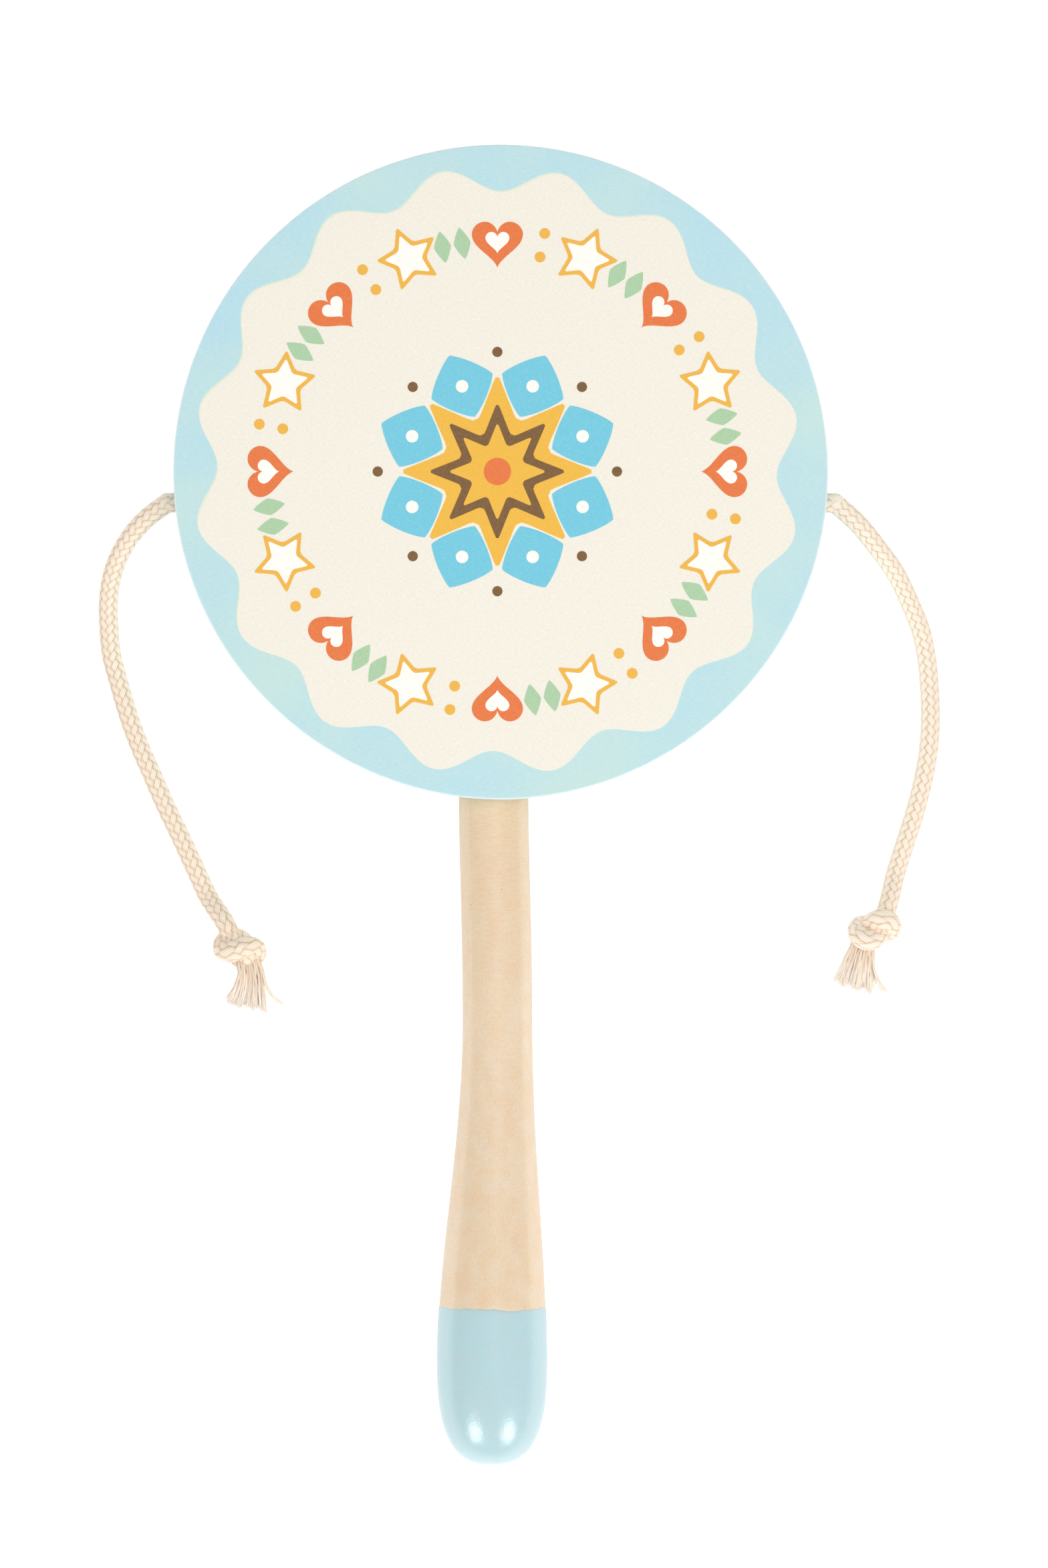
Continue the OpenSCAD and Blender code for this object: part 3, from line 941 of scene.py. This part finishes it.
# The coat of paint: from inside the wood, out over its rounded lip, and along the stick to the tip
lip_ats = dip_edge(turns(handle_sides)) + DIP_LIP[:, :1]
run_shares = np.linspace(0, 1, coat_rows)[1:, None]
run_ats = lip_ats[-1] + (grip_at - lip_ats[-1]) * run_shares
coat_dome_ats = np.broadcast_to(dome_ats[:, None], (len(dome_ats), handle_sides))
coat_ats = np.concatenate([lip_ats, run_ats, coat_dome_ats])
coat_shares = np.concatenate([DIP_LIP[:, 1], np.ones(len(coat_ats) - len(DIP_LIP))])[:, None]
coat_radii = handle_radius(coat_ats) + paint_t * coat_shares
coat_radii[-1] *= tip_draw
coat_ats += paint_t * np.maximum(coat_ats - grip_at, 0) / dome_l
points, faces = closed_rings(handle_rings(coat_ats, coat_radii))
piece("handle_dip", points, faces, "drum", DIP, "handle_wood")


# Floor, light and background

floor_half = 3000
floor_gap = 0.02
# The floor's own light, near the object and far off, and the distances that it changes between
GLOW_RUN, GLOW = (400, 900), (0.45, 1.0)
# What gloss sees of it, beside the handle and away from it
SHINE_RUN, SHINE = (10, 60), (0.1, 1.2)


def studio_white(name):
    """A white light table: matt, with light of its own, so that shadows on it stay pale, and more of it far
    off. Gloss sees it dim in the shadow beside the handle and bright away from it."""
    made, tree = new_finish(name)
    mottle = grain(tree, (60, 60, 60), 2.0)
    place = add(tree, "ShaderNodeTexCoord").outputs["Object"]
    far = add(tree, "ShaderNodeVectorMath", {0: place}, operation="LENGTH").outputs["Value"]
    # Distance from the handle's axis, and past its end from the middle of the dome
    dome_middle = (handle_x * MM, -grip_at * MM, 0)
    from_dome = add(tree, "ShaderNodeVectorMath", {
        0: place, 1: dome_middle}, operation="SUBTRACT").outputs["Vector"]
    aside = add(tree, "ShaderNodeVectorMath", {
        0: from_dome, 1: (1, 0, 1)}, operation="MINIMUM").outputs["Vector"]
    away = add(tree, "ShaderNodeVectorMath", {0: aside}, operation="LENGTH").outputs["Value"]
    glow, shine = [
        add(tree, "ShaderNodeMapRange", {
            "Value": distance, "From Min": near_mm * MM, "From Max": far_mm * MM,
            "To Min": near_light, "To Max": far_light}).outputs["Result"]
        for distance, (near_mm, far_mm), (near_light, far_light) in (
            (far, GLOW_RUN, GLOW), (away, SHINE_RUN, SHINE))]
    in_gloss = add(tree, "ShaderNodeLightPath").outputs["Is Glossy Ray"]
    light = add(tree, "ShaderNodeMix", {VALUE_SHARE: in_gloss, VALUE_UNDER: glow, VALUE_OVER: shine})
    return finished(made, {
        "Base Color": layered(tree, "#F3F3F2", ("#F7F7F7", mottle, GRAIN_RUN, 1.0)), "Roughness": 0.8,
        "Emission Color": (1, 1, 1, 1), "Emission Strength": light.outputs[VALUE_MIXED]})


floor_mesh = bpy.data.meshes.new("floor")
floor_mesh.from_pydata([(x * floor_half * MM, y * floor_half * MM, -floor_gap * MM)
                        for x, y in ((-1, -1), (1, -1), (1, 1), (-1, 1))], [], [(0, 1, 2, 3)])
floor_mesh.materials.append(studio_white("white_light_table"))
floor = bpy.data.objects.new("floor", floor_mesh)
bpy.context.scene.collection.objects.link(floor)


def softbox(name, place, target, size, watts):
    """A soft light of oval shape, with its width and height given, that faces a place on the object."""
    data = bpy.data.lights.new(name, "AREA")
    data.shape = "ELLIPSE"
    data.size, data.size_y = np.array(size) * MM
    data.energy = watts
    made = bpy.data.objects.new(name, data)
    made.location = np.array(place) * MM
    made.rotation_mode = "QUATERNION"
    made.rotation_quaternion = Vector(np.subtract(target, place)).to_track_quat("-Z", "Y")
    bpy.context.scene.collection.objects.link(made)
    return made


# Two softboxes stand beyond the handle's tip, the right one brighter, and show as two spots on the dip
key_way = np.array([0.55, -0.65, 0.52])
key_far = 1800
key_size = np.array([0.42, 0.47]) * key_far
KEY_WATTS = {"left": 5.1, "right": 6.1}
# The lamps behind them add to what gloss shows alone, as a softbox's face is brighter than its light
glint_watts = 25
glint_share = 1.06
dip_middle = np.array([handle_x, -(tip_at - dome_l / 2), mid_z])
for side, sign in SIDES.items():
    key_run = key_way * [sign, 1, 1] * key_far
    softbox(f"{side}_key", dip_middle + key_run, dip_middle, key_size, KEY_WATTS[side])
    glint = softbox(f"{side}_glint", dip_middle + glint_share * key_run, dip_middle,
                    key_size * glint_share, glint_watts)
    glint.visible_diffuse = False

# The light overhead is bounced off the ceiling, so gloss doesn't show it
OVERHEAD_AT, OVERHEAD_TARGET = (90, -60, 1050), (0, -60, 0)
overhead_d, overhead_watts = 600, 5.35
overhead = softbox("overhead", OVERHEAD_AT, OVERHEAD_TARGET, (overhead_d, overhead_d), overhead_watts)
overhead.visible_glossy = False

# The room round the table, as light on the object, as gloss shows it, and as the camera sees it
ROOM = (0.45, 0.1, 1.0)
world = bpy.data.worlds.new("studio")
world.use_nodes = True
bpy.context.scene.world = world
sky = world.node_tree
sky.nodes.clear()
ray = add(sky, "ShaderNodeLightPath").outputs
lit, mirrored, seen = [
    add(sky, "ShaderNodeBackground", {"Color": (1, 1, 1, 1), "Strength": strength}).outputs["Background"]
    for strength in ROOM]
unseen = add(sky, "ShaderNodeMixShader", {0: ray["Is Glossy Ray"], 1: lit, 2: mirrored}).outputs["Shader"]
whole = add(sky, "ShaderNodeMixShader", {0: ray["Is Camera Ray"], 1: unseen, 2: seen}).outputs["Shader"]
add(sky, "ShaderNodeOutputWorld", {"Surface": whole})
bpy.context.scene.view_settings.view_transform = "Standard"
